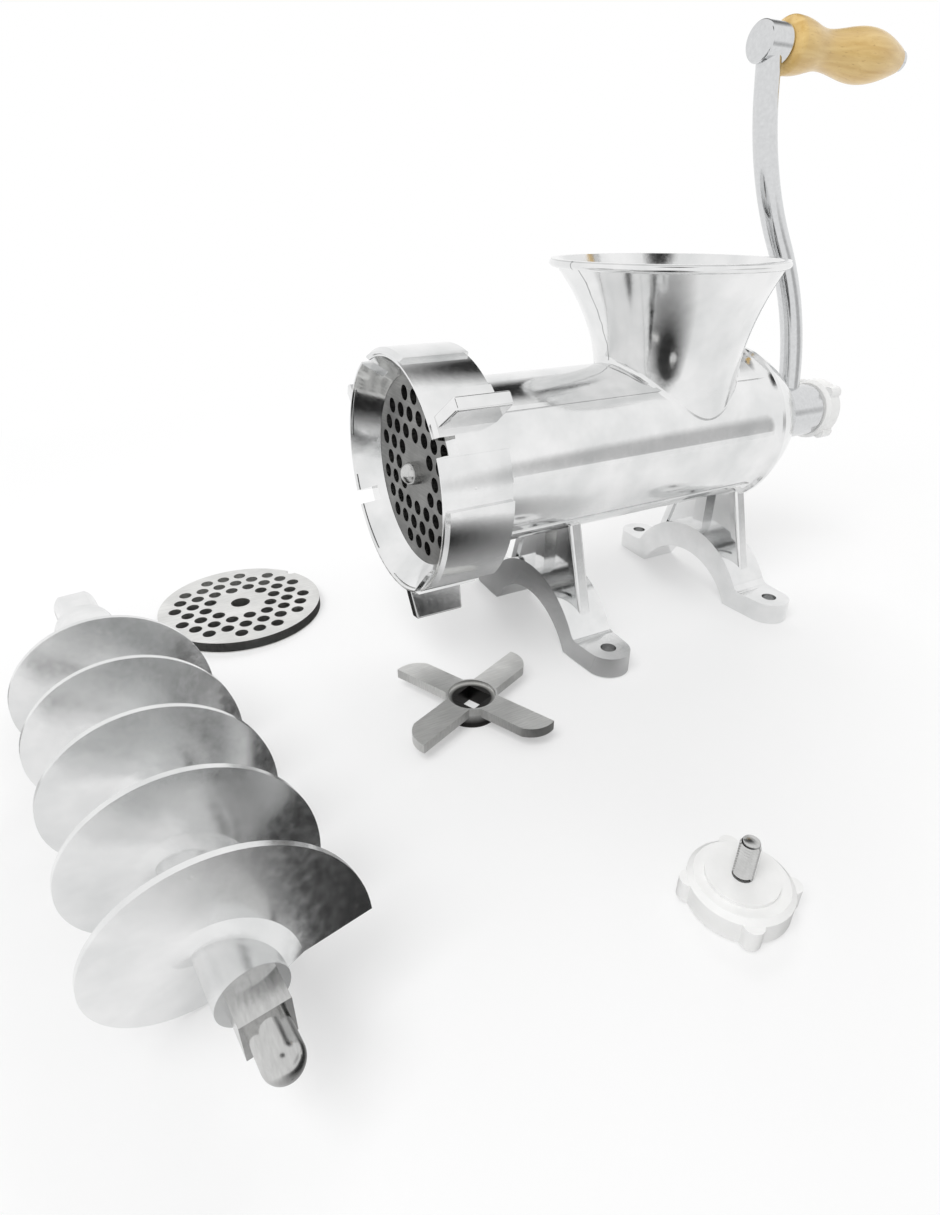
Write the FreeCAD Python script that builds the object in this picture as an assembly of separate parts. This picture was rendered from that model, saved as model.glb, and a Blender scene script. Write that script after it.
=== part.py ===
import FreeCAD, Part
import math
import os

# Hand crank meat grinder: aluminium body, auger, knife, plate, ring nut and crank,
# with a spare auger, plate, knife and thumb screw lying in front.
# Millimetres. +Z is up, the barrel lies along Y, and the plate looks towards -Y.
# The origin is the centre of the four foot bolts, on the table.

V = FreeCAD.Vector

# Clearances
seat_gap = 0.1        # between faces that are held together
running_gap = 0.05    # a journal in its bearing, on the radius
slide_gap = 0.2       # a piece that slips over another by hand
thread_gap = 0.3      # between screwed surfaces, on the radius

# Feet and legs
axis_z = 107.0        # height of the barrel's axis
foot_x = 61.5         # foot bolts from the middle, across
foot_y = 62.5         # foot bolts from the middle, along the barrel
bolt_r = 4.25
pad_t = 12.5          # thickness of a foot pad
pad_end_r = 12.0      # round end of a pad, about its bolt
leg_w = 26.0          # width of a leg along the barrel
arch_half = 38.0      # half span of the tunnel at the table
arch_rise = 23.0      # height of the tunnel
beam_half = 46.0      # where the arch meets the pad
beam_rise = 40.0      # top of the arch in the middle
web_t = 5.0
web_low_x = 42.0      # outer edge of the web, at the pad
web_low_z = 13.0
web_top_x = 19.0      # outer edge of the web, inside the barrel
web_top_z = 88.0
rib_t = 6.0           # outer rib along the edge of the web
rib_w = 8.0
rib_round = 2.0       # fillet along the outer edges of a rib
mid_rib_t = 9.0
mid_rib_w = 13.0
pad_blend = 6.0       # fillet between the arch and a pad

# Barrel
barrel_r = 43.0
barrel_wall = 4.0
barrel_back_y = 54.0  # where the barrel flares out to its flange
bore_end_y = 66.0     # inner end wall
flare_hollow = 0.75   # of the flare under its chord
flange_y = 62.0       # front edge of the flange
flange_t = 2.5
flange_r = 46.0
dome_bulge = 1.5      # of the end wall over its chord
boss_r = 22.5
boss_round = 2.0
boss_end_y = 104.0
ridge_w = 2.4         # casting ridges along the barrel
ridge_h = 0.8
ridge_root = 2.0      # depth of a ridge inside the wall
ridge_angles = (50.0, 5.5, -42.0)

# Hopper
hopper_y = 9.5        # centre of the neck
hopper_wall = 3.5
hopper_lean = 8.0     # the rim lies this much further forward
neck_step = 3.5       # the neck is this much slimmer than the barrel
neck_round = 3.0      # fillet between the neck and the barrel
flare_z = 138.0       # where the straight neck starts to flare
flare_steps = 5
rim_r = 61.0
rim_z = 200.5

# Plate, knife and ring nut
plate_r = 49.0
plate_t = 6.5
plate_front_y = -146.5
plate_hole_r = 3.75
plate_step = 10.8     # spacing of the hole pattern
plate_rings = (2, 3, 4)
plate_recess = 0.5    # the plate stands this far out of the barrel
key_r = 2.9           # pin in the barrel's mouth
key_depth = 3.0       # how far the pin goes into the barrel
key_angle = 90.0
head_wall = 4.7       # wall of the barrel's threaded mouth
head_depth = 18.0     # depth of the mouth
head_back = 4.0       # the thread's cylinder ends this far behind the floor of the mouth
head_cone = 8.0       # length of the cone behind it
knife_r = 44.0
knife_t = 11.0
blade_t = 5.0
blade_half = 7.0
blade_count = 4
blade_round = 9.0     # the rounded edge ends this far from the tip
blade_bulge = 3.0
knife_hub_r = 13.0
knife_hub_wall = 1.0
knife_sink = 2.0      # the hub's face below the blades
ring_wall = 4.3
ring_front_y = -160.0
ring_back_y = -125.0
ring_lip_r = 47.0     # opening of the lip in front of the plate
ring_edge = 1.0       # flat edge outside the bevel
ring_pad_h = 1.7      # raised pads on the outside
ring_pad_inset = 0.8  # pads start behind the front edge
lug_count = 3
lug_angle = 38.0
lug_r = 77.0
lug_w = 6.5
lug_slope = 2.5       # length of the slanted front of a lug
lug_short = 3.0       # a lug ends before the back of the ring
lug_pad_span = 29.0
plain_pad_span = 46.0
lug_round = 1.2
notch_count = 4
notch_angle = 28.0
notch_w = 8.0
notch_d = 9.5

# Auger and its fittings
flight_gap = 0.5      # between the flights and the bore
flight_pitch = 37.0
flight_inset = 1.0    # the flight starts behind the front face
flight_tip_t = 2.2
flight_mid_t = 5.0
flight_root_t = 11.0
flight_mid_r = 16.0
flight_root_r = 7.5   # inside the core
core_r = 10.5
bulb_r = 20.5
bulb_len = 13.0
bulb_cone = 16.0
journal_r = 13.5
seat_r = 10.0         # crank seat
seat_len = 28.0
seat_flat = 7.8       # flat of the seat, from the axis
square = 14.0
stud_r = 5.75
stud_out = 8.0        # the stud stands this far out of the plate
stud_root_r = 6.5
stud_root_len = 20.0
washer_r = 21.0
fibre_t = 2.5
steel_t = 2.0

# Crank
hub_r = 16.5
hub_len = 32.0
hub_round = 1.5
arm_r = 6.5
arm_straight = 22.0   # radial run before the bend
arm_reach = 195.0     # from the axis to the grip
arm_offset = 41.0     # the grip's root lies this much nearer the machine
arm_end_run = 20.0    # straight run before the grip
end_boss_r = 9.5
end_boss_len = 17.0
crank_angle = 98.0    # rest position, from +X towards +Z
grip_len = 95.0
grip_root_r = 13.2
grip_waist_r = 9.6
grip_belly_r = 13.0
grip_end_r = 6.8
grip_face_r = 9.2     # flat face next to the crank
grip_shoulder = 6.0   # length of the round shoulder
grip_shoulder_bulge = 1.4
grip_waist_at = 0.30  # shares of the grip's length
grip_belly_at = 0.62
grip_end_slope = 0.35
spindle_r = 4.0
bolt_head_r = 5.4
bolt_head_h = 4.0
bolt_slot_w = 1.4
bolt_slot_d = 1.2

# Thumb screw
screw_r = 4.0
screw_len = 17.0
screw_room = 2.0      # free depth below the stud
screw_end = 1.0       # chamfer of the stud
knob_r = 18.8
knob_t = 12.5
knob_round = 2.0
nub_r = 3.8
nub_count = 4
nub_angle = 45.0
nub_at = 17.9         # nub centres, from the axis
knob_hub_r = 13.0
knob_hub_h = 1.5

# Places of the spare set on the table
spare_plate_xy = (-98.0, -228.0)
spare_plate_turn = 35.0
spare_knife_xy = (62.0, -148.0)
spare_knife_turn = 24.0
spare_screw_xy = (207.0, -116.0)
spare_screw_turn = 12.0
spare_auger_xy = (70.0, -296.0)
spare_auger_turn = 97.5
spare_auger_roll = 0.0

# Sizes that follow from the ones above
bore_r = barrel_r - barrel_wall
neck_r = barrel_r - neck_step
plate_back_y = plate_front_y + plate_t
head_front_y = plate_front_y + plate_recess
head_floor_y = head_front_y + head_depth
head_bore_r = plate_r + thread_gap
head_r = head_bore_r + head_wall
ring_bore_r = head_r + thread_gap
ring_r = ring_bore_r + ring_wall
ring_seat_y = plate_front_y - seat_gap
knife_face_y = plate_back_y + seat_gap
knife_back_y = knife_face_y + knife_t
flight_r = bore_r - flight_gap
washer_back_y = bore_end_y - seat_gap
shoulder_y = washer_back_y - 2.0 * steel_t - fibre_t
journal_end_y = boss_end_y + seat_gap
seat_end_y = journal_end_y + seat_len
hub_front_y = journal_end_y + slide_gap
hub_back_y = hub_front_y + hub_len
hub_mid_y = hub_front_y + hub_len / 2.0
grip_root_y = hub_mid_y - arm_offset + end_boss_len / 2.0 + slide_gap
knob_face_y = hub_back_y + seat_gap


def outline(start, *steps):
    """Closed wire from points (a, b) in the XY plane; a step of two points is an arc."""
    edges = []
    here = V(start[0], start[1], 0)
    for step in steps + (start,):
        if isinstance(step[0], tuple):
            middle, end = (V(p[0], p[1], 0) for p in step)
            edges.append(Part.Arc(here, middle, end).toShape())
        else:
            end = V(step[0], step[1], 0)
            if end.distanceToPoint(here) < 1e-6:
                continue
            edges.append(Part.LineSegment(here, end).toShape())
        here = end
    return Part.Wire(edges)


def turned(start, *steps):
    """Solid of revolution about the barrel's axis, from points (radius, y)."""
    solid = Part.Face(outline(start, *steps)).revolve(V(0, 0, 0), V(0, 1, 0), 360)
    solid.translate(V(0, 0, axis_z))
    return solid


def round_bar(radius, y0, y1):
    """Cylinder on the barrel's axis."""
    return Part.makeCylinder(radius, y1 - y0, V(0, y0, axis_z), V(0, 1, 0))


def tube(outer, inner, y0, y1):
    """Ring on the barrel's axis."""
    return round_bar(outer, y0, y1).cut(round_bar(inner, y0, y1))


def about_axis(solid, angle):
    """Copy turned about the barrel's axis, from +X towards +Z."""
    turned_copy = solid.copy()
    turned_copy.rotate(V(0, 0, axis_z), V(0, 1, 0), -angle)
    return turned_copy


def square_bar(side, y0, y1):
    """Square prism on the barrel's axis."""
    return Part.makeBox(side, y1 - y0, side, V(-side / 2.0, y0, axis_z - side / 2.0))


def arc_middle(a, b, bulge):
    """Middle point of an arc from a to b that stands off its chord, to the left of a to b."""
    length = math.hypot(b[0] - a[0], b[1] - a[1])
    normal = (-(b[1] - a[1]) / length, (b[0] - a[0]) / length)
    return tuple((a[i] + b[i]) / 2.0 + normal[i] * bulge for i in (0, 1))


def tangent_point(point, centre, radius):
    """Where the line from a point touches a circle on its far side from the X axis."""
    dx, dy = centre[0] - point[0], centre[1] - point[1]
    distance = math.hypot(dx, dy)
    angle = math.atan2(dy, dx) + math.asin(radius / distance)
    reach = math.sqrt(distance ** 2 - radius ** 2)
    return (point[0] + reach * math.cos(angle), point[1] + reach * math.sin(angle))


def fused(solids):
    """One solid from touching solids, with no seams left in its faces."""
    return solids[0].multiFuse(solids[1:]).removeSplitter()


def soft_ends(cylinder, radius):
    """Cylinder with its two end edges rounded."""
    return cylinder.makeFillet(radius, [e for e in cylinder.Edges if e.Curve.TypeId == "Part::GeomCircle"])


# Body casting

def leg(y):
    """Arched leg with its web, ribs and two tongue-shaped foot pads."""
    end_x = foot_x + pad_end_r
    beam = slab([(end_x, 0), (end_x, pad_t), (beam_half, pad_t), ((0, beam_rise), (-beam_half, pad_t)),
                 (-end_x, pad_t), (-end_x, 0)], leg_w)
    corner = (beam_half, leg_w / 2.0)
    touch = tangent_point(corner, (foot_x, 0), pad_end_r)
    plan = outline((-corner[0], corner[1]), corner, touch, ((end_x, 0), (touch[0], -touch[1])),
                   (corner[0], -corner[1]), (-corner[0], -corner[1]), (-touch[0], -touch[1]),
                   ((-end_x, 0), (-touch[0], touch[1])))
    beam = beam.common(Part.Face(plan).extrude(V(0, 0, beam_rise)))
    across = [e for e in beam.Edges if e.BoundBox.XLength < seat_gap and e.BoundBox.ZLength < seat_gap
              and e.CenterOfMass.z > pad_t / 2.0]
    beam = beam.makeFillet(pad_blend, across)

    edge = [(web_low_x, web_low_z), (web_top_x, web_top_z)]
    web = slab([(-web_low_x, web_low_z), edge[0], edge[1], (-web_top_x, web_top_z)], web_t)
    ribs = []
    for sign in (1, -1):
        rib = slab([(sign * edge[0][0], edge[0][1]), (sign * edge[1][0], edge[1][1]),
                    (sign * (edge[1][0] - rib_t), edge[1][1]),
                    (sign * (edge[0][0] - rib_t), edge[0][1])], rib_w)
        middle_x = (web_low_x + web_top_x) / 2.0
        outer = [e for e in rib.Edges if abs(abs(e.CenterOfMass.x) - middle_x) < seat_gap]
        ribs.append(rib.makeFillet(rib_round, outer))
    low_z = (arch_rise + beam_rise) / 2.0
    middle = slab([(-mid_rib_t / 2.0, low_z), (mid_rib_t / 2.0, low_z),
                   (mid_rib_t / 2.0, web_top_z), (-mid_rib_t / 2.0, web_top_z)], mid_rib_w)
    tunnel = slab([(arch_half, 0), ((0, arch_rise), (-arch_half, 0))], leg_w)
    solid = fused([beam, web, middle] + ribs).cut(tunnel)
    solid.translate(V(0, y, 0))
    return solid


def slab(points, width):
    """Plate across the barrel, from outline points (x, z), centred on y = 0."""
    plate = Part.Face(outline(*points)).extrude(V(0, 0, width))
    plate.rotate(V(0, 0, 0), V(1, 0, 0), 90)
    plate.translate(V(0, width / 2.0, 0))
    return plate


def hopper(shrink):
    """Straight neck and a flare that leans forward, or their inside when shrunk by the wall."""
    rings = []
    for i in range(flare_steps + 1):
        share = i / flare_steps
        swell = share ** 2
        radius = neck_r + (rim_r - neck_r) * swell - shrink
        centre = V(0, hopper_y - hopper_lean * swell, flare_z + (rim_z - flare_z) * share)
        rings.append(Part.Wire(Part.makeCircle(radius, centre)))
    neck = Part.makeCylinder(neck_r - shrink, flare_z - axis_z, V(0, hopper_y, axis_z))
    return neck.fuse(Part.makeLoft(rings, True))


def joins_neck(edge):
    """Whether an edge runs where the hopper's neck meets the barrel."""
    first, last = edge.ParameterRange
    for share in (0.0, 0.3, 0.7, 1.0):
        p = edge.valueAt(first + share * (last - first))
        off_barrel = abs(math.hypot(p.x, p.z - axis_z) - barrel_r)
        off_neck = abs(math.hypot(p.x, p.y - hopper_y) - neck_r)
        if off_barrel > seat_gap or off_neck > neck_round or p.z < axis_z:
            return False
    return True


def body_casting():
    cone_front_y = head_floor_y + head_back
    cone_back_y = cone_front_y + head_cone
    flange_back = (flange_r, flange_y + flange_t)
    boss_edge = (boss_r, boss_end_y - boss_round)
    flare_middle = arc_middle((barrel_r, barrel_back_y), (flange_r, flange_y), flare_hollow)
    dome_middle = arc_middle(flange_back, boss_edge, -dome_bulge)
    barrel = turned((0, head_front_y), (head_r, head_front_y), (head_r, cone_front_y),
                    (barrel_r, cone_back_y), (barrel_r, barrel_back_y),
                    (flare_middle, (flange_r, flange_y)), flange_back, (dome_middle, boss_edge),
                    (boss_r - boss_round, boss_end_y), (0, boss_end_y))
    ridges = []
    for angle in ridge_angles:
        for side in (angle, 180.0 - angle):
            ridge = Part.makeBox(ridge_h + ridge_root, flange_y - cone_back_y, ridge_w,
                                 V(barrel_r - ridge_root, cone_back_y, axis_z - ridge_w / 2.0))
            ridges.append(about_axis(ridge, side))
    shell = barrel.fuse(hopper(0.0))
    shell = shell.makeFillet(neck_round, [e for e in shell.Edges if joins_neck(e)])
    solid = fused([shell, leg(-foot_y), leg(foot_y)] + ridges)

    solid = solid.cut(round_bar(bore_r, head_front_y, bore_end_y))
    solid = solid.cut(round_bar(head_bore_r, head_front_y, head_floor_y))
    solid = solid.cut(round_bar(journal_r + running_gap, bore_end_y, boss_end_y))
    solid = solid.cut(hopper(hopper_wall))
    solid = solid.cut(key_pin())
    for x in (-foot_x, foot_x):
        for y in (-foot_y, foot_y):
            solid = solid.cut(Part.makeCylinder(bolt_r, pad_t, V(x, y, 0)))
    return solid


def key_pin():
    """Pin along the edge of the plate's seat, driven into the floor of the barrel's mouth."""
    pin = Part.makeCylinder(key_r, head_depth + key_depth - plate_recess,
                            V(head_bore_r, head_front_y + plate_recess, axis_z), V(0, 1, 0))
    return about_axis(pin, key_angle)


# Plate, knife and ring nut

def grinding_plate():
    solid = tube(plate_r, stud_r + running_gap, plate_front_y, plate_back_y)
    holes = []
    reach = max(plate_rings)
    for q in range(-reach, reach + 1):
        for r in range(-reach, reach + 1):
            ring = max(abs(q), abs(r), abs(q + r))
            corner = 0 in (q, r, q + r)
            if ring not in plate_rings or (ring == reach and corner):
                continue
            x = plate_step * (q + r / 2.0)
            z = plate_step * r * math.sqrt(3.0) / 2.0
            holes.append(Part.makeCylinder(plate_hole_r, plate_t,
                                           V(x, plate_front_y, axis_z + z), V(0, 1, 0)))
    solid = solid.cut(Part.makeCompound(holes))
    notch = Part.makeBox(2.0 * key_r, plate_t, 2.0 * (key_r + slide_gap),
                         V(head_bore_r, plate_front_y, axis_z - key_r - slide_gap))
    end = Part.makeCylinder(key_r + slide_gap, plate_t, V(head_bore_r, plate_front_y, axis_z), V(0, 1, 0))
    return solid.cut(about_axis(notch.fuse(end), key_angle))


def knife():
    """Four blades with one straight and one rounded edge, on a hub with a square hole."""
    corner = (knife_r - blade_round, -blade_half)
    rounded = (arc_middle((knife_r, blade_half), corner, blade_bulge), corner)
    blade = Part.Face(outline((0, blade_half), (knife_r, blade_half), rounded, (0, -blade_half)))
    blade = blade.extrude(V(0, 0, blade_t))
    blade.rotate(V(0, 0, 0), V(1, 0, 0), 90)
    blade.translate(V(0, knife_face_y + blade_t, axis_z))
    blades = [about_axis(blade, 360.0 * i / blade_count) for i in range(blade_count)]
    hub = round_bar(knife_hub_r, knife_face_y, knife_back_y)
    solid = fused(blades + [hub])
    solid = solid.cut(round_bar(knife_hub_r - knife_hub_wall, knife_face_y, knife_face_y + knife_sink))
    return solid.cut(square_bar(square, knife_face_y, knife_back_y))


def ring_nut():
    """Screwed ring with a bevelled lip, raised pads, lugs and notches."""
    body = turned((ring_lip_r, ring_seat_y), (ring_r - ring_edge, ring_front_y), (ring_r, ring_front_y),
                  (ring_r, ring_back_y), (ring_bore_r, ring_back_y), (ring_bore_r, ring_seat_y))
    root = ring_r - ring_wall / 2.0
    pad = Part.Face(outline((root, ring_front_y + ring_pad_inset),
                            (ring_r, ring_front_y + ring_pad_inset),
                            (ring_r + ring_pad_h, ring_front_y + ring_pad_inset + ring_pad_h),
                            (ring_r + ring_pad_h, ring_back_y), (root, ring_back_y)))
    lug_front = ring_front_y + ring_pad_inset + ring_pad_h
    lug = Part.Face(outline((root, lug_front), (ring_r + ring_pad_h, lug_front),
                            (lug_r, lug_front + lug_slope), (lug_r, ring_back_y - lug_short),
                            (root, ring_back_y - lug_short)))
    lug = lug.extrude(V(0, 0, lug_w))
    outer = [e for e in lug.Edges if max(v.X for v in e.Vertexes) > lug_r - lug_round]
    lug = lug.makeFillet(lug_round, outer)
    lug.translate(V(0, 0, axis_z - lug_w / 2.0))
    pieces = [body]
    for i in range(lug_count):
        at = lug_angle + 360.0 * i / lug_count
        pieces.append(about_axis(lug, at))
        for middle, span in ((at, lug_pad_span), (at + 180.0 / lug_count, plain_pad_span)):
            sector = pad.revolve(V(0, 0, 0), V(0, 1, 0), -span)
            sector.translate(V(0, 0, axis_z))
            pieces.append(about_axis(sector, middle - span / 2.0))
    solid = fused(pieces)
    solid = solid.cut(round_bar(ring_bore_r, ring_seat_y, ring_back_y))
    notch = Part.makeBox(lug_r, notch_d, notch_w, V(0, ring_front_y, axis_z - notch_w / 2.0))
    for i in range(notch_count):
        solid = solid.cut(about_axis(notch, notch_angle + 360.0 * i / notch_count))
    return solid


# Auger, stud and washers

def auger():
    """Cast screw: left-hand flight on a slim core, bulb, journal and crank seat."""
    bulb_front_y = shoulder_y - bulb_len
    core = turned((0, knife_back_y), (core_r, knife_back_y), (core_r, bulb_front_y - bulb_cone),
                  (bulb_r, bulb_front_y), (bulb_r, shoulder_y), (journal_r, shoulder_y),
                  (journal_r, journal_end_y), (seat_r, journal_end_y), (seat_r, seat_end_y), (0, seat_end_y))
    flight_y = knife_back_y + flight_root_t / 2.0 + flight_inset
    flight_len = bulb_front_y - flight_y
    helix = Part.makeLongHelix(flight_pitch, flight_len, core_r, 0, True)
    section = outline((flight_root_r, -flight_root_t / 2.0), (flight_mid_r, -flight_mid_t / 2.0),
                      (flight_r, -flight_tip_t / 2.0), (flight_r, flight_tip_t / 2.0),
                      (flight_mid_r, flight_mid_t / 2.0), (flight_root_r, flight_root_t / 2.0))
    section.rotate(V(0, 0, 0), V(1, 0, 0), 90)
    flight = Part.Wire(helix.Edges).makePipeShell([section], True, True)
    flight.rotate(V(0, 0, 0), V(1, 0, 0), -90)
    flight.translate(V(0, flight_y, axis_z))
    solid = core.fuse(flight)
    solid = solid.cut(round_bar(stud_root_r, knife_back_y, knife_back_y + stud_root_len))
    solid = solid.cut(Part.makeBox(2.0 * seat_r, seat_len, seat_r,
                                   V(-seat_r, journal_end_y, axis_z + seat_flat)))
    tap_y = hub_back_y - screw_len - screw_room
    return solid.cut(round_bar(screw_r, tap_y, seat_end_y))


def auger_stud():
    """Steel pin with the knife's square and the round end that runs in the plate."""
    tip_y = plate_front_y - stud_out
    root = round_bar(stud_root_r, knife_back_y, knife_back_y + stud_root_len)
    block = square_bar(square, knife_face_y, knife_back_y)
    halfway = stud_r * math.sqrt(0.5)
    pin = turned((0, tip_y), ((halfway, tip_y + stud_r - halfway), (stud_r, tip_y + stud_r)),
                 (stud_r, knife_face_y), (0, knife_face_y))
    return fused([pin, block, root])


def fibre_washer():
    return tube(washer_r, journal_r, washer_back_y - steel_t - fibre_t, washer_back_y - steel_t)


def thrust_washers():
    """Two steel washers, one on each side of the fibre washer."""
    back = tube(washer_r, journal_r, washer_back_y - steel_t, washer_back_y)
    front = tube(washer_r, journal_r, shoulder_y, shoulder_y + steel_t)
    return Part.makeCompound([front, back])


# Crank, grip and thumb screw

def arm_path():
    """Centre line of the arm in the XY plane, from the hub outwards along X."""
    start = (0, hub_mid_y)
    bend_in = (arm_straight, hub_mid_y)
    bend_out = (arm_reach - arm_end_run, hub_mid_y - arm_offset)
    end = (arm_reach, hub_mid_y - arm_offset)
    middle = tuple((bend_in[i] + bend_out[i]) / 2.0 for i in (0, 1))
    run, rise = middle[0] - bend_in[0], bend_in[1] - middle[1]
    radius = (run ** 2 + rise ** 2) / (2.0 * rise)
    half = 0.5 * math.asin(run / radius)
    first = (bend_in[0] + radius * math.sin(half), bend_in[1] - radius * (1.0 - math.cos(half)))
    second = (bend_out[0] - radius * math.sin(half), bend_out[1] + radius * (1.0 - math.cos(half)))
    points = [V(p[0], p[1], 0) for p in (start, bend_in, first, middle, second, bend_out, end)]
    return Part.Wire([Part.LineSegment(points[0], points[1]).toShape(),
                      Part.Arc(points[1], points[2], points[3]).toShape(),
                      Part.Arc(points[3], points[4], points[5]).toShape(),
                      Part.LineSegment(points[5], points[6]).toShape()])


def grip_axis_bar(radius, y0, y1):
    """Cylinder on the grip's axis, before the crank is turned to its rest angle."""
    return Part.makeCylinder(radius, y1 - y0, V(arm_reach, y0, axis_z), V(0, 1, 0))


def crank_arm():
    section = Part.Wire(Part.makeCircle(arm_r, V(0, hub_mid_y, 0), V(1, 0, 0)))
    arm = arm_path().makePipeShell([section], True, False)
    arm.translate(V(0, 0, axis_z))
    hub = soft_ends(round_bar(hub_r, hub_front_y, hub_back_y), hub_round)
    boss_front = grip_root_y - slide_gap - end_boss_len
    boss = soft_ends(grip_axis_bar(end_boss_r, boss_front, grip_root_y - slide_gap), hub_round)
    solid = fused([hub, arm, boss])
    bore = round_bar(seat_r + slide_gap, hub_front_y, hub_back_y)
    flat_z = axis_z + seat_flat + slide_gap
    flat = Part.makeBox(4.0 * seat_r, hub_len, seat_r, V(-2.0 * seat_r, hub_front_y, flat_z))
    bore = about_axis(bore.cut(flat), -crank_angle)
    solid = solid.cut(bore)
    solid = solid.cut(grip_axis_bar(spindle_r, boss_front, grip_root_y))
    return about_axis(solid, crank_angle)


def grip_bolt():
    """Spindle through the grip, with a slotted head sunk into the grip's end."""
    root = grip_root_y - slide_gap - end_boss_len
    head_y = grip_root_y + grip_len
    shank = grip_axis_bar(spindle_r, root, head_y)
    head = grip_axis_bar(bolt_head_r, head_y + slide_gap, head_y + slide_gap + bolt_head_h)
    neck = grip_axis_bar(spindle_r, head_y, head_y + slide_gap)
    slot = Part.makeBox(4.0 * bolt_head_r, bolt_slot_d, bolt_slot_w,
                        V(arm_reach - 2.0 * bolt_head_r, head_y + slide_gap + bolt_head_h - bolt_slot_d,
                          axis_z - bolt_slot_w / 2.0))
    return about_axis(fused([shank, neck, head]).cut(slot), crank_angle)


def crank_grip():
    """Turned wooden grip: round shoulder, waist, belly and narrow end."""
    shoulder = (grip_root_r, grip_root_y + grip_shoulder)
    waist = (grip_waist_r, grip_root_y + grip_waist_at * grip_len)
    belly = (grip_belly_r, grip_root_y + grip_belly_at * grip_len)
    end = (grip_end_r, grip_root_y + grip_len)
    face = (grip_face_r, grip_root_y)
    start = V(face[0], face[1], 0)
    curve = Part.BSplineCurve()
    through = [V(p[0], p[1], 0) for p in (shoulder, waist, belly, end)]
    curve.interpolate(Points=through, InitialTangent=V(0.0, 1.0, 0), FinalTangent=V(-grip_end_slope, 1.0, 0))
    corner_middle = arc_middle(face, shoulder, -grip_shoulder_bulge)
    corner = Part.Arc(start, V(corner_middle[0], corner_middle[1], 0), through[0]).toShape()
    bore = spindle_r + running_gap
    inner = [V(bore, grip_root_y + grip_len, 0), V(bore, grip_root_y, 0)]
    wire = Part.Wire([corner, curve.toShape(), Part.LineSegment(through[-1], inner[0]).toShape(),
                      Part.LineSegment(inner[0], inner[1]).toShape(),
                      Part.LineSegment(inner[1], start).toShape()])
    solid = Part.Face(wire).revolve(V(0, 0, 0), V(0, 1, 0), 360)
    solid.translate(V(arm_reach, 0, axis_z))
    return about_axis(solid, crank_angle)


def screw_knob():
    """Nylon head with nubs round its edge and a low hub on the stud's side."""
    face = knob_face_y + knob_hub_h
    back = face + knob_t
    disc = turned((0, face), (knob_r - knob_round, face), (knob_r, face + knob_round),
                  (knob_r, back - knob_round), (knob_r - knob_round, back), (0, back))
    nub = Part.makeCylinder(nub_r, knob_t - 2.0 * knob_round,
                            V(nub_at, face + knob_round, axis_z), V(0, 1, 0))
    nubs = [about_axis(nub, nub_angle + 360.0 * i / nub_count) for i in range(nub_count)]
    hub = round_bar(knob_hub_r, knob_face_y, face)
    solid = fused([disc, hub] + nubs)
    return solid.cut(round_bar(screw_r - thread_gap, knob_face_y, face + knob_t / 2.0))


def screw_stud():
    radius = screw_r - thread_gap
    end_y = hub_back_y - screw_len
    head_y = knob_face_y + knob_hub_h + knob_t / 2.0
    return turned((0, end_y), (radius - screw_end, end_y), (radius, end_y + screw_end),
                  (radius, head_y), (0, head_y))


# Spare set on the table

def on_table(solid, y_down, xy, turn, up):
    """Copy with its axis upright; up is 1 with the +Y side on top, or -1 with the -Y side on top."""
    copy = solid.copy()
    copy.translate(V(0, -y_down, -axis_z))
    copy.rotate(V(0, 0, 0), V(1, 0, 0), 90.0 * up)
    copy.rotate(V(0, 0, 0), V(0, 0, 1), turn)
    copy.translate(V(xy[0], xy[1], 0))
    return copy


def laid_auger(solid):
    """Copy of an auger piece, lying on its flights."""
    copy = about_axis(solid, spare_auger_roll)
    copy.translate(V(0, -(plate_front_y - stud_out + seat_end_y) / 2.0, flight_r - axis_z))
    copy.rotate(V(0, 0, 0), V(0, 0, 1), spare_auger_turn)
    copy.translate(V(spare_auger_xy[0], spare_auger_xy[1], 0))
    return copy


parts = {
    "body_casting": body_casting(),
    "plate_key_pin": key_pin(),
    "grinding_plate": grinding_plate(),
    "ring_nut": ring_nut(),
    "knife": knife(),
    "auger": auger(),
    "auger_stud": auger_stud(),
    "fibre_washer": fibre_washer(),
    "thrust_washers": thrust_washers(),
    "crank_arm": crank_arm(),
    "grip_bolt": grip_bolt(),
    "crank_grip": crank_grip(),
    "thumb_screw_knob": screw_knob(),
    "thumb_screw_stud": screw_stud(),
}
for name in ("auger", "auger_stud", "fibre_washer", "thrust_washers"):
    parts["spare_" + name] = laid_auger(parts[name])
parts["spare_plate"] = on_table(parts["grinding_plate"], plate_back_y, spare_plate_xy, spare_plate_turn, -1)
parts["spare_knife"] = on_table(parts["knife"], knife_back_y, spare_knife_xy, spare_knife_turn, -1)
screw_back_y = knob_face_y + knob_hub_h + knob_t
for name in ("knob", "stud"):
    parts["spare_screw_" + name] = on_table(parts["thumb_screw_" + name], screw_back_y,
                                            spare_screw_xy, spare_screw_turn, -1)

os.makedirs("parts", exist_ok=True)
for name, shape in parts.items():
    shape.exportStep("parts/" + name + ".step")
    box = shape.BoundBox
    print(name, shape.isValid(), len(shape.Solids), round(shape.Volume),
          [round(v, 1) for v in (box.XMin, box.XMax, box.YMin, box.YMax, box.ZMin, box.ZMax)])
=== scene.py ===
import math

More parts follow.
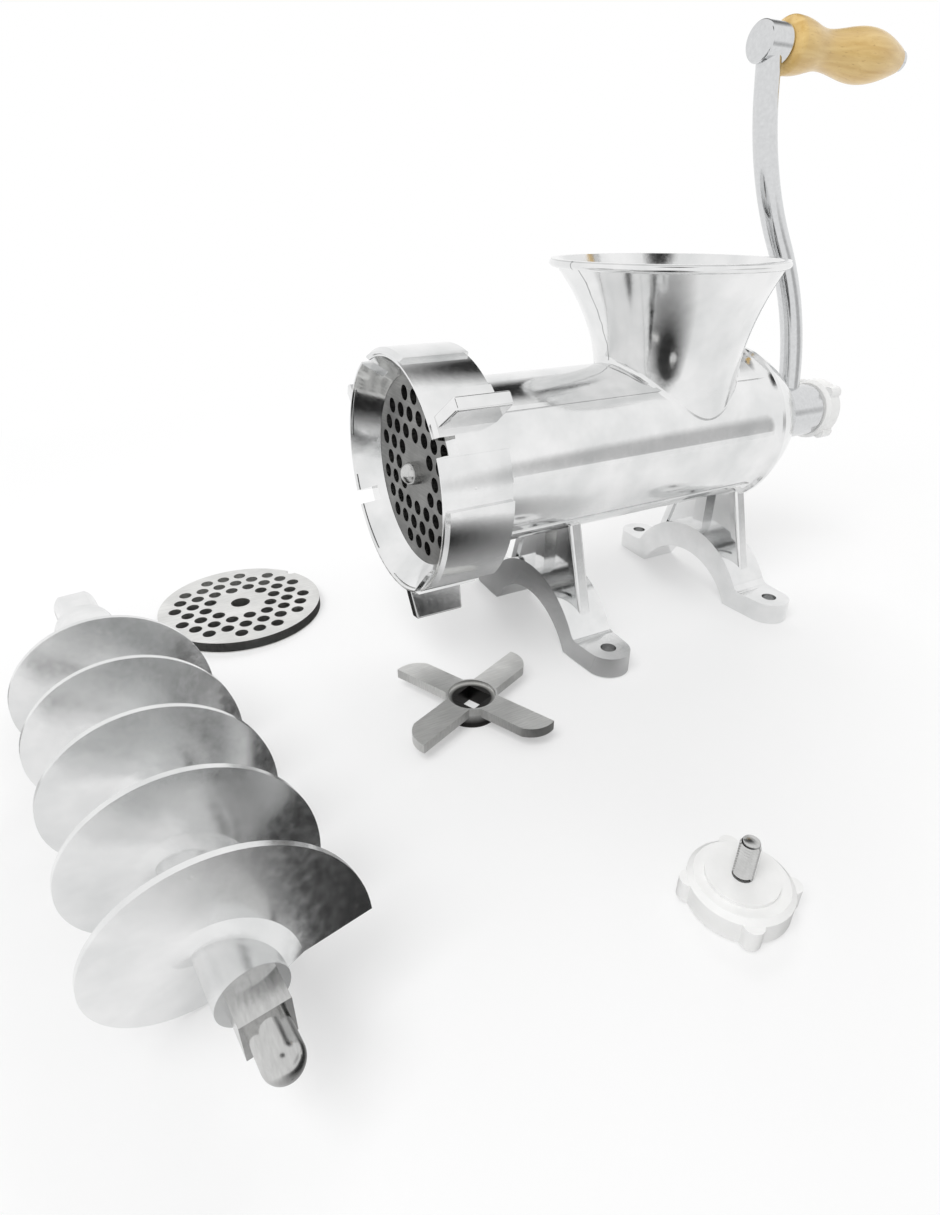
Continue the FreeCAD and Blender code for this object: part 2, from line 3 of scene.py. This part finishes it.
import bpy
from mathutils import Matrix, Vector


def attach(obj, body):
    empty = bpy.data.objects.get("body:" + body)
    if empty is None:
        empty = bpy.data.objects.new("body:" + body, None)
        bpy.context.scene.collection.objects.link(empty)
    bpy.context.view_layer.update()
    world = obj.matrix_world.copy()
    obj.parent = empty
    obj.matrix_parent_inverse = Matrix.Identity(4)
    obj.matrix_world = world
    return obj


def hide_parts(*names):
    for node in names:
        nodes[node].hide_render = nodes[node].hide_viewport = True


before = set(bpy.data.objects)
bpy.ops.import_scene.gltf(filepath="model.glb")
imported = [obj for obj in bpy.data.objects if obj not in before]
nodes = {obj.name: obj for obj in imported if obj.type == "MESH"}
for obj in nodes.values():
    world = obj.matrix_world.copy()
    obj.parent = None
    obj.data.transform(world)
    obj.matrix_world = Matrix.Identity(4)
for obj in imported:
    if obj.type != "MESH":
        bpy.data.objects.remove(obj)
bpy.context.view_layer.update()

# Sizes from the solids, in metres
RIM_CENTRE = (0.0, 0.0015, 0.1985)        # middle of the hopper's rim
RIM_R = 0.0592
BEAD_R = 0.0024
BEAD_FLATTEN = 0.85                       # the bead's height over its width
SEAM_FOOT = 0.152                         # the hopper's parting line ends here
SEAM_WANDER = 0.003                       # and strays this far to each side
SEAM_EDGE = (0.0001, 0.0005)              # it fades between these distances from its middle
SPARE_KNIFE = (0.062, -0.148, 0.0)
HUB_EDGE = (0.0132, 0.0150)               # the dark of the knife's hub fades between these
SPARE_SCREW = (0.207, -0.116)             # the spare thumb screw's axis
SCREW_R = 0.0037                          # its stud, over the thread
SCREW_ROOT_R = 0.0031
SCREW_PITCH = 0.00125
SCREW_LOW = 0.0138                        # the thread starts at the knob's hub
SCREW_TOP = 0.0310
SCREW_SIDES = 32                          # of the core and of one turn of the thread
SCREW_CHAMFER = 0.0006
SMOOTH_ANGLE = math.radians(35)           # edges sharper than this stay sharp

# Studio, in metres, degrees and watts
FLOOR_R = 6.0
FLOOR_LEVEL = -0.0002                     # just under the pads
SHADOW_MIDDLE = (0.05, -0.12, 0.0)
SHADOW_EDGE = (0.35, 0.75)                # the floor fades to white between these distances
LAMP_TARGET = (0.0, -0.05, 0.1)
CARD_LEVEL = 0.0006                       # the low cards lie just over the floor
CAMERA_PLACE = (0.3129, -0.2829, 0.2189)
CAMERA_TILT = 60.9
CAMERA_TURN = 61.9
CAMERA_LENS = 20.74                       # in millimetres, for the sensor below
SENSOR_HEIGHT = 36.0

# A Mix node's colour sockets
MIX_FIRST, MIX_SECOND, MIX_RESULT = 6, 7, 2


def linear(colour):
    """Linear colour with alpha from an sRGB hex value."""
    shares = [int(colour[i:i + 2], 16) / 255.0 for i in (1, 3, 5)]
    return [s / 12.92 if s <= 0.04045 else ((s + 0.055) / 1.055) ** 2.4 for s in shares] + [1.0]


def add(tree, kind, inputs=(), **settings):
    """A node with its settings; an input is a value or another node's output."""
    node = tree.nodes.new(kind)
    for name, value in settings.items():
        setattr(node, name, value)
    for name, value in dict(inputs).items():
        if isinstance(value, bpy.types.NodeSocket):
            tree.links.new(value, node.inputs[name])
        else:
            node.inputs[name].default_value = value
    return node


def new_material(name):
    """Material with an empty tree, and the object coordinates that its patterns read."""
    material = bpy.data.materials.new(name)
    material.use_nodes = True
    tree = material.node_tree
    tree.nodes.clear()
    place = add(tree, "ShaderNodeTexCoord").outputs["Object"]
    return material, tree, place


# Materials. A pattern's Scale is one over its size in metres, so 1 / 0.003 is a 3 mm grain.

def cast_aluminium(name, dark, light, rough, grain, seam=False):
    """Sand-cast aluminium, buffed: soft cloudy tone, uneven gloss, the casting's grain and a few pits."""
    material, tree, place = new_material(name)
    clouds = add(tree, "ShaderNodeTexNoise", {"Vector": place, "Scale": 1 / 0.022, "Detail": 3.0})
    buffing = add(tree, "ShaderNodeTexNoise", {"Vector": place, "Scale": 1 / 0.003, "Detail": 4.0})
    pits = add(tree, "ShaderNodeTexVoronoi", {"Vector": place, "Scale": 1 / 0.011})
    pit = add(tree, "ShaderNodeMapRange", {"Value": pits.outputs["Distance"], "From Min": 0.03,
                                           "From Max": 0.06, "To Min": 1.0, "To Max": 0.0})
    tone = add(tree, "ShaderNodeValToRGB", {"Fac": clouds.outputs["Fac"]})
    tone.color_ramp.elements[0].position = 0.3
    tone.color_ramp.elements[0].color = linear(dark)
    tone.color_ramp.elements[1].position = 0.7
    tone.color_ramp.elements[1].color = linear(light)
    gloss = add(tree, "ShaderNodeMapRange", {"Value": buffing.outputs["Fac"], "From Min": 0.3,
                                             "From Max": 0.7, "To Min": rough[0], "To Max": rough[1]})
    height = add(tree, "ShaderNodeMath", {0: buffing.outputs["Fac"], 1: pit.outputs[0]},
                 operation="SUBTRACT")
    colour = tone.outputs["Color"]
    if seam:
        colour, height = hopper_seam(tree, place, colour, height)
    bump = add(tree, "ShaderNodeBump", {"Strength": grain, "Distance": 0.0004,
                                        "Height": height.outputs[0]})
    shader = add(tree, "ShaderNodeBsdfPrincipled", {"Metallic": 1.0, "Base Color": colour,
                                                    "Roughness": gloss.outputs[0],
                                                    "Normal": bump.outputs[0]})
    add(tree, "ShaderNodeOutputMaterial", {"Surface": shader.outputs[0]}, is_active_output=True)
    return material


def hopper_seam(tree, place, colour, height):
    """Thin wandering parting line down the front of the hopper, up to 1 mm wide."""
    wander = add(tree, "ShaderNodeTexNoise", {"Vector": place, "Scale": 1 / 0.012, "Detail": 2.0})
    offset = add(tree, "ShaderNodeMapRange", {"Value": wander.outputs["Fac"], "To Min": -SEAM_WANDER,
                                              "To Max": SEAM_WANDER})
    axes = add(tree, "ShaderNodeSeparateXYZ", {"Vector": place})
    across = add(tree, "ShaderNodeMath", {0: axes.outputs["X"], 1: offset.outputs[0]}, operation="ADD")
    distance = add(tree, "ShaderNodeMath", {0: across.outputs[0]}, operation="ABSOLUTE")
    line = add(tree, "ShaderNodeMapRange", {"Value": distance.outputs[0], "From Min": SEAM_EDGE[0],
                                            "From Max": SEAM_EDGE[1], "To Min": 1.0, "To Max": 0.0})
    above = add(tree, "ShaderNodeMath", {0: axes.outputs["Z"], 1: SEAM_FOOT}, operation="GREATER_THAN")
    front = add(tree, "ShaderNodeMath", {0: axes.outputs["Y"], 1: 0.0}, operation="LESS_THAN")
    on_hopper = add(tree, "ShaderNodeMath", {0: above.outputs[0], 1: front.outputs[0]},
                    operation="MULTIPLY")
    seam = add(tree, "ShaderNodeMath", {0: line.outputs[0], 1: on_hopper.outputs[0]},
               operation="MULTIPLY")
    darker = add(tree, "ShaderNodeMix", {"Factor": seam.outputs[0], MIX_FIRST: colour,
                                         MIX_SECOND: linear("#8b8c8d")}, data_type="RGBA")
    raised = add(tree, "ShaderNodeMath", {0: height.outputs[0], 1: seam.outputs[0]}, operation="ADD")
    return darker.outputs[MIX_RESULT], raised


def ground_steel(name, grain, dark, light, rough, centre=None):
    """Machined steel, surface ground: straight scratches over an even grey, darker in a knife's hub.

    The scratches are drawn coarser than real ones, so that they show."""
    material, tree, place = new_material(name)
    stretched = add(tree, "ShaderNodeMapping", {"Vector": place, "Scale": grain})
    scratches = add(tree, "ShaderNodeTexNoise", {"Vector": stretched.outputs[0], "Scale": 1.0,
                                                 "Detail": 5.0})
    stains = add(tree, "ShaderNodeTexNoise", {"Vector": place, "Scale": 1 / 0.016, "Detail": 4.0})
    both = add(tree, "ShaderNodeMath", {0: scratches.outputs["Fac"], 1: stains.outputs["Fac"]},
               operation="MULTIPLY")
    tone = add(tree, "ShaderNodeValToRGB", {"Fac": both.outputs[0]})
    tone.color_ramp.elements[0].position = 0.12
    tone.color_ramp.elements[0].color = linear(dark)
    tone.color_ramp.elements[1].position = 0.42
    tone.color_ramp.elements[1].color = linear(light)
    colour = tone.outputs["Color"]
    if centre:
        out = add(tree, "ShaderNodeVectorMath", {0: place, 1: centre}, operation="DISTANCE")
        hub = add(tree, "ShaderNodeMapRange", {"Value": out.outputs["Value"], "From Min": HUB_EDGE[0],
                                               "From Max": HUB_EDGE[1], "To Min": 1.0, "To Max": 0.0})
        darker = add(tree, "ShaderNodeMix", {"Factor": hub.outputs[0], MIX_FIRST: colour,
                                             MIX_SECOND: linear("#3a3938")}, data_type="RGBA")
        colour = darker.outputs[MIX_RESULT]
    gloss = add(tree, "ShaderNodeMapRange", {"Value": scratches.outputs["Fac"], "To Min": rough[0],
                                             "To Max": rough[1]})
    bump = add(tree, "ShaderNodeBump", {"Strength": 0.08, "Distance": 0.0002,
                                        "Height": scratches.outputs["Fac"]})
    shader = add(tree, "ShaderNodeBsdfPrincipled", {"Metallic": 1.0, "Base Color": colour,
                                                    "Roughness": gloss.outputs[0],
                                                    "Normal": bump.outputs[0]})
    add(tree, "ShaderNodeOutputMaterial", {"Surface": shader.outputs[0]}, is_active_output=True)
    return material


def plated_steel(name):
    """Steel bar, nickel-chrome plated: near mirror with a slow waviness from the bending."""
    material, tree, place = new_material(name)
    waves = add(tree, "ShaderNodeTexNoise", {"Vector": place, "Scale": 1 / 0.009, "Detail": 2.0})
    haze = add(tree, "ShaderNodeTexNoise", {"Vector": place, "Scale": 1 / 0.002, "Detail": 4.0})
    tone = add(tree, "ShaderNodeValToRGB", {"Fac": haze.outputs["Fac"]})
    tone.color_ramp.elements[0].color = linear("#c9cacb")
    tone.color_ramp.elements[1].color = linear("#dfe0e1")
    gloss = add(tree, "ShaderNodeMapRange", {"Value": haze.outputs["Fac"], "To Min": 0.06, "To Max": 0.20})
    bump = add(tree, "ShaderNodeBump", {"Strength": 0.2, "Distance": 0.0004,
                                        "Height": waves.outputs["Fac"]})
    shader = add(tree, "ShaderNodeBsdfPrincipled", {"Metallic": 1.0, "Base Color": tone.outputs["Color"],
                                                    "Roughness": gloss.outputs[0],
                                                    "Normal": bump.outputs[0]})
    add(tree, "ShaderNodeOutputMaterial", {"Surface": shader.outputs[0]}, is_active_output=True)
    return material


def varnished_beech(name):
    """Turned beech under clear varnish: pale yellow, long fine grain and short dark flecks."""
    material, tree, place = new_material(name)
    along = add(tree, "ShaderNodeMapping", {"Vector": place, "Scale": (1 / 0.004, 1 / 0.045, 1 / 0.004)})
    grain = add(tree, "ShaderNodeTexNoise", {"Vector": along.outputs[0], "Scale": 1.0, "Detail": 5.0,
                                             "Distortion": 0.6})
    short = add(tree, "ShaderNodeMapping", {"Vector": place, "Scale": (1 / 0.0007, 1 / 0.006, 1 / 0.0007)})
    flecks = add(tree, "ShaderNodeTexNoise", {"Vector": short.outputs[0], "Scale": 1.0, "Detail": 2.0})
    tone = add(tree, "ShaderNodeValToRGB", {"Fac": grain.outputs["Fac"]})
    tone.color_ramp.elements[0].position = 0.3
    tone.color_ramp.elements[0].color = linear("#c9a257")
    tone.color_ramp.elements[1].position = 0.7
    tone.color_ramp.elements[1].color = linear("#e2c27e")
    fleck = add(tree, "ShaderNodeMapRange", {"Value": flecks.outputs["Fac"], "From Min": 0.62,
                                             "From Max": 0.75, "To Min": 0.0, "To Max": 0.5})
    colour = add(tree, "ShaderNodeMix", {"Factor": fleck.outputs[0], MIX_FIRST: tone.outputs["Color"],
                                         MIX_SECOND: linear("#a97c38")}, data_type="RGBA")
    gloss = add(tree, "ShaderNodeMapRange", {"Value": grain.outputs["Fac"], "To Min": 0.35, "To Max": 0.5})
    bump = add(tree, "ShaderNodeBump", {"Strength": 0.08, "Distance": 0.0003,
                                        "Height": grain.outputs["Fac"]})
    shader = add(tree, "ShaderNodeBsdfPrincipled", {"Base Color": colour.outputs[MIX_RESULT],
                                                    "Roughness": gloss.outputs[0],
                                                    "Normal": bump.outputs[0],
                                                    "Coat Weight": 0.6, "Coat Roughness": 0.12})
    add(tree, "ShaderNodeOutputMaterial", {"Surface": shader.outputs[0]}, is_active_output=True)
    return material


def moulded_nylon(name):
    """Natural white nylon, moulded: milky, a little light passes through, softly uneven gloss."""
    material, tree, place = new_material(name)
    flow = add(tree, "ShaderNodeTexNoise", {"Vector": place, "Scale": 1 / 0.008, "Detail": 3.0})
    tone = add(tree, "ShaderNodeValToRGB", {"Fac": flow.outputs["Fac"]})
    tone.color_ramp.elements[0].color = linear("#ebebea")
    tone.color_ramp.elements[1].color = linear("#f6f6f5")
    gloss = add(tree, "ShaderNodeMapRange", {"Value": flow.outputs["Fac"], "To Min": 0.30, "To Max": 0.45})
    shader = add(tree, "ShaderNodeBsdfPrincipled", {"Base Color": tone.outputs["Color"],
                                                    "Roughness": gloss.outputs[0], "IOR": 1.53,
                                                    "Subsurface Weight": 0.3,
                                                    "Subsurface Radius": (0.004, 0.004, 0.004)})
    add(tree, "ShaderNodeOutputMaterial", {"Surface": shader.outputs[0]}, is_active_output=True)
    return material


def black_fibre(name):
    """Pressed fibre washer: dull black with a felted grain, drawn coarser than it is so that it shows."""
    material, tree, place = new_material(name)
    felt = add(tree, "ShaderNodeTexNoise", {"Vector": place, "Scale": 1 / 0.0012, "Detail": 5.0})
    tone = add(tree, "ShaderNodeValToRGB", {"Fac": felt.outputs["Fac"]})
    tone.color_ramp.elements[0].color = linear("#121212")
    tone.color_ramp.elements[1].color = linear("#2e2c2a")
    bump = add(tree, "ShaderNodeBump", {"Strength": 0.4, "Distance": 0.0003,
                                        "Height": felt.outputs["Fac"]})
    shader = add(tree, "ShaderNodeBsdfPrincipled", {"Base Color": tone.outputs["Color"],
                                                    "Roughness": 0.75, "Normal": bump.outputs[0]})
    add(tree, "ShaderNodeOutputMaterial", {"Surface": shader.outputs[0]}, is_active_output=True)
    return material


ring_casting = cast_aluminium("polished_cast_aluminium", "#dcdddd", "#eeeeee", (0.09, 0.15), 0.05)
body_casting = cast_aluminium("polished_cast_aluminium_body", "#dcdddd", "#eeeeee", (0.09, 0.15), 0.05,
                              seam=True)
auger_casting = cast_aluminium("brushed_cast_aluminium", "#dcdddd", "#efefef", (0.16, 0.26), 0.05)
turned_steel = ground_steel("turned_steel", (1 / 0.004, 1 / 0.0008, 1 / 0.004), "#bdbdbc", "#d2d2d1",
                            (0.14, 0.26))
plate_steel = ground_steel("ground_plate_steel", (1 / 0.012, 1 / 0.004, 1 / 0.0005), "#6c6c6b", "#929290",
                           (0.28, 0.46))
flat_steel = ground_steel("ground_steel_flat", (1 / 0.0005, 1 / 0.012, 1 / 0.004), "#d2d2d0", "#ececea",
                          (0.26, 0.4))
knife_steel = ground_steel("ground_knife_steel", (1 / 0.0006, 1 / 0.009, 1 / 0.004), "#d2d2d0", "#ececea",
                           (0.26, 0.4), SPARE_KNIFE)
plating = plated_steel("nickel_chrome_plating")
beech = varnished_beech("varnished_beech")
nylon = moulded_nylon("moulded_nylon")
fibre = black_fibre("pressed_black_fibre")

finishes = {
    "body_casting": body_casting, "ring_nut": ring_casting,
    "auger": auger_casting, "spare_auger": auger_casting,
    "grinding_plate": plate_steel, "spare_plate": flat_steel,
    "knife": turned_steel, "spare_knife": knife_steel, "plate_key_pin": turned_steel,
    "auger_stud": turned_steel, "spare_auger_stud": turned_steel,
    "thrust_washers": turned_steel, "spare_thrust_washers": turned_steel,
    "thumb_screw_stud": turned_steel, "spare_screw_stud": turned_steel,
    "crank_arm": plating, "grip_bolt": plating, "crank_grip": beech,
    "thumb_screw_knob": nylon, "spare_screw_knob": nylon,
    "fibre_washer": fibre, "spare_fibre_washer": fibre,
}
for name, material in finishes.items():
    mesh = nodes[name].data
    mesh.materials.clear()
    mesh.materials.append(material)


# Pieces that the solids leave plain

def start_piece():
    """Nothing selected, so that an operator acts on the new primitive alone."""
    bpy.ops.object.select_all(action="DESELECT")


def finish_piece(name, material, body):
    """Named piece at the origin, with its place in its mesh, riding on a body."""
    piece = bpy.context.object
    piece.name = name
    bpy.ops.object.transform_apply(location=True, rotation=True, scale=True)
    bpy.ops.object.shade_smooth_by_angle(angle=SMOOTH_ANGLE)
    piece.data.materials.append(material)
    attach(piece, body)
    return piece


def rim_bead():
    """Rolled bead on the hopper's rim, flattened to an oval."""
    start_piece()
    bpy.ops.mesh.primitive_torus_add(major_radius=RIM_R, minor_radius=BEAD_R, major_segments=128,
                                     minor_segments=20, location=RIM_CENTRE)
    bpy.ops.object.mode_set(mode="EDIT")
    bpy.ops.mesh.select_all(action="SELECT")
    bpy.ops.transform.resize(value=(1.0, 1.0, BEAD_FLATTEN), center_override=RIM_CENTRE)
    bpy.ops.object.mode_set(mode="OBJECT")
    finish_piece("hopper_rim_bead", body_casting, "housing")


def spare_screw_thread():
    """Thread of the spare thumb screw: a diamond section wound up around the stud's core."""
    start_piece()
    depth = SCREW_R - SCREW_ROOT_R
    bpy.ops.mesh.primitive_plane_add(size=depth * math.sqrt(2.0), location=(0, 0, 0))
    thread = bpy.context.object
    bpy.ops.object.mode_set(mode="EDIT")
    bpy.ops.mesh.select_all(action="SELECT")
    bpy.ops.transform.rotate(value=math.radians(45), orient_axis="Z", center_override=(0, 0, 0))
    bpy.ops.transform.rotate(value=math.radians(90), orient_axis="X", center_override=(0, 0, 0))
    bpy.ops.transform.translate(value=(SCREW_ROOT_R, 0, 0))
    bpy.ops.mesh.delete(type="ONLY_FACE")
    bpy.ops.object.mode_set(mode="OBJECT")
    winding = thread.modifiers.new("winding", "SCREW")
    winding.screw_offset = SCREW_PITCH
    winding.iterations = int((SCREW_TOP - SCREW_LOW) / SCREW_PITCH) - 1
    winding.steps = SCREW_SIDES
    winding.render_steps = SCREW_SIDES
    bpy.ops.object.modifier_apply(modifier="winding")
    bpy.ops.object.mode_set(mode="EDIT")
    bpy.ops.mesh.select_all(action="SELECT")
    bpy.ops.mesh.fill_holes(sides=4)
    bpy.ops.mesh.normals_make_consistent(inside=False)
    bpy.ops.object.mode_set(mode="OBJECT")
    thread.location = (*SPARE_SCREW, SCREW_LOW + SCREW_PITCH / 2.0)
    finish_piece("spare_screw_thread", turned_steel, "spare_screw")


def spare_screw_core():
    """Core of the spare thumb screw's stud, with a chamfer at its ends."""
    start_piece()
    length = SCREW_TOP - SCREW_LOW
    bpy.ops.mesh.primitive_cylinder_add(vertices=SCREW_SIDES, radius=SCREW_ROOT_R, depth=length,
                                        location=(*SPARE_SCREW, SCREW_LOW + length / 2.0))
    core = bpy.context.object
    chamfer = core.modifiers.new("chamfer", "BEVEL")
    chamfer.width = SCREW_CHAMFER
    chamfer.segments = 2
    bpy.ops.object.modifier_apply(modifier="chamfer")
    core = finish_piece("spare_screw_core", turned_steel, "spare_screw")
    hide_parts("spare_screw_stud")


rim_bead()
spare_screw_thread()
spare_screw_core()


# Floor, studio and camera

def white_floor():
    """Pale table that keeps the soft shadows near the object and fades to white further out."""
    start_piece()
    bpy.ops.mesh.primitive_circle_add(vertices=96, radius=FLOOR_R, fill_type="NGON",
                                      location=(0, 0, FLOOR_LEVEL))
    floor = bpy.context.object
    floor.name = "floor"
    material, tree, place = new_material("pale_table")
    reach = add(tree, "ShaderNodeVectorMath", {0: place, 1: SHADOW_MIDDLE}, operation="DISTANCE")
    fade = add(tree, "ShaderNodeMapRange", {"Value": reach.outputs["Value"], "From Min": SHADOW_EDGE[0],
                                            "From Max": SHADOW_EDGE[1], "To Min": 0.35})
    shader = add(tree, "ShaderNodeBsdfPrincipled", {"Base Color": linear("#f6f6f6"), "Roughness": 0.6})
    glow = add(tree, "ShaderNodeEmission", {"Color": linear("#ffffff"), "Strength": 1.0})
    mix = add(tree, "ShaderNodeMixShader", {"Fac": fade.outputs[0], 1: shader.outputs[0],
                                            2: glow.outputs[0]})
    add(tree, "ShaderNodeOutputMaterial", {"Surface": mix.outputs[0]}, is_active_output=True)
    floor.data.materials.append(material)


def studio_world():
    """White studio: full white where the camera or a reflection looks, softer as a light."""
    world = bpy.data.worlds.new("studio")
    bpy.context.scene.world = world
    world.use_nodes = True
    tree = world.node_tree
    tree.nodes.clear()
    path = add(tree, "ShaderNodeLightPath")
    seen = add(tree, "ShaderNodeMath", {0: path.outputs["Is Camera Ray"], 1: path.outputs["Is Glossy Ray"]},
               operation="MAXIMUM")
    seen = add(tree, "ShaderNodeMath", {0: seen.outputs[0], 1: path.outputs["Is Transmission Ray"]},
               operation="MAXIMUM")
    strength = add(tree, "ShaderNodeMapRange", {"Value": seen.outputs[0], "To Min": 0.55, "To Max": 1.0})
    sky = add(tree, "ShaderNodeBackground", {"Color": linear("#ffffff"), "Strength": strength.outputs[0]})
    add(tree, "ShaderNodeOutputWorld", {"Surface": sky.outputs[0]})


def turn_to(thing, place, target):
    """Puts a thing at a place with its -Z looking at a point."""
    thing.location = place
    thing.rotation_euler = (Vector(target) - Vector(place)).to_track_quat("-Z", "Y").to_euler()


def lamp(name, place, size, power):
    """Soft box that looks at the object and isn't mirrored in the metal."""
    light = bpy.data.lights.new(name, "AREA")
    light.shape = "RECTANGLE"
    light.size, light.size_y = size
    light.energy = power
    box = bpy.data.objects.new(name, light)
    bpy.context.collection.objects.link(box)
    box.visible_glossy = False
    turn_to(box, place, LAMP_TARGET)


def dark_card_material(name, share):
    """Dark paper or thin gauze: hides a share of what is behind it, and fades out to its oval edge."""
    material, tree, place = new_material(name)
    unit = add(tree, "ShaderNodeVectorMath", {0: place, "Scale": 2.0}, operation="SCALE")
    oval = add(tree, "ShaderNodeTexGradient", {"Vector": unit.outputs[0]}, gradient_type="SPHERICAL")
    cover = add(tree, "ShaderNodeMapRange", {"Value": oval.outputs["Fac"], "From Max": 0.6,
                                             "To Max": share})
    clear = add(tree, "ShaderNodeBsdfTransparent")
    shader = add(tree, "ShaderNodeBsdfPrincipled", {"Base Color": linear("#141414"), "Roughness": 0.9})
    mix = add(tree, "ShaderNodeMixShader", {"Fac": cover.outputs[0], 1: clear.outputs[0],
                                            2: shader.outputs[0]})
    add(tree, "ShaderNodeOutputMaterial", {"Surface": mix.outputs[0]}, is_active_output=True)
    return material


def dark_card(name, place, target, size, material, spin=0.0):
    """Dark card that shows only in reflections."""
    start_piece()
    bpy.ops.mesh.primitive_plane_add(size=1.0)
    card = bpy.context.object
    card.name = name
    card.scale = (size[0], size[1], 1.0)
    turn_to(card, place, target)
    card.rotation_euler.rotate_axis("Z", math.radians(spin))
    card.visible_camera = False
    card.visible_diffuse = False
    card.visible_shadow = False
    card.data.materials.append(material)


def photo_camera():
    """Camera fitted to the machine in the photograph."""
    lens = bpy.data.cameras.new("camera")
    lens.sensor_fit = "VERTICAL"
    lens.sensor_height = SENSOR_HEIGHT
    lens.lens = CAMERA_LENS
    lens.clip_start = 0.01
    camera = bpy.data.objects.new("camera", lens)
    bpy.context.collection.objects.link(camera)
    camera.location = CAMERA_PLACE
    camera.rotation_euler = (math.radians(CAMERA_TILT), 0.0, math.radians(CAMERA_TURN))
    bpy.context.scene.camera = camera


card_paper = dark_card_material("dark_card", 1.0)
card_gauze = dark_card_material("dark_gauze", 0.45)
white_floor()
studio_world()
lamp("key", (0.5, -0.9, 1.4), (0.9, 0.9), 14.0)
lamp("back", (-0.9, 0.6, 1.1), (0.8, 0.8), 8.0)
dark_card("card_overhead", (-0.39, 0.47, 0.89), (0.02, -0.06, 0.145), (1.0, 0.8), card_paper)
dark_card("card_horizon", (0.69, 0.54, 0.165), (0.043, -0.04, 0.107), (1.0, 0.36), card_gauze)
dark_card("card_high", (0.47, -0.27, 1.03), (0.0, 0.0, 0.195), (0.6, 0.5), card_paper)
dark_card("card_low_left", (-0.06, -0.24, CARD_LEVEL), (-0.06, -0.24, 0.2), (0.24, 0.5), card_paper)
dark_card("card_low_front", (0.22, -0.17, CARD_LEVEL), (0.22, -0.17, 0.2), (0.54, 0.27), card_paper, 32.0)
photo_camera()
bpy.context.scene.view_settings.view_transform = "Standard"
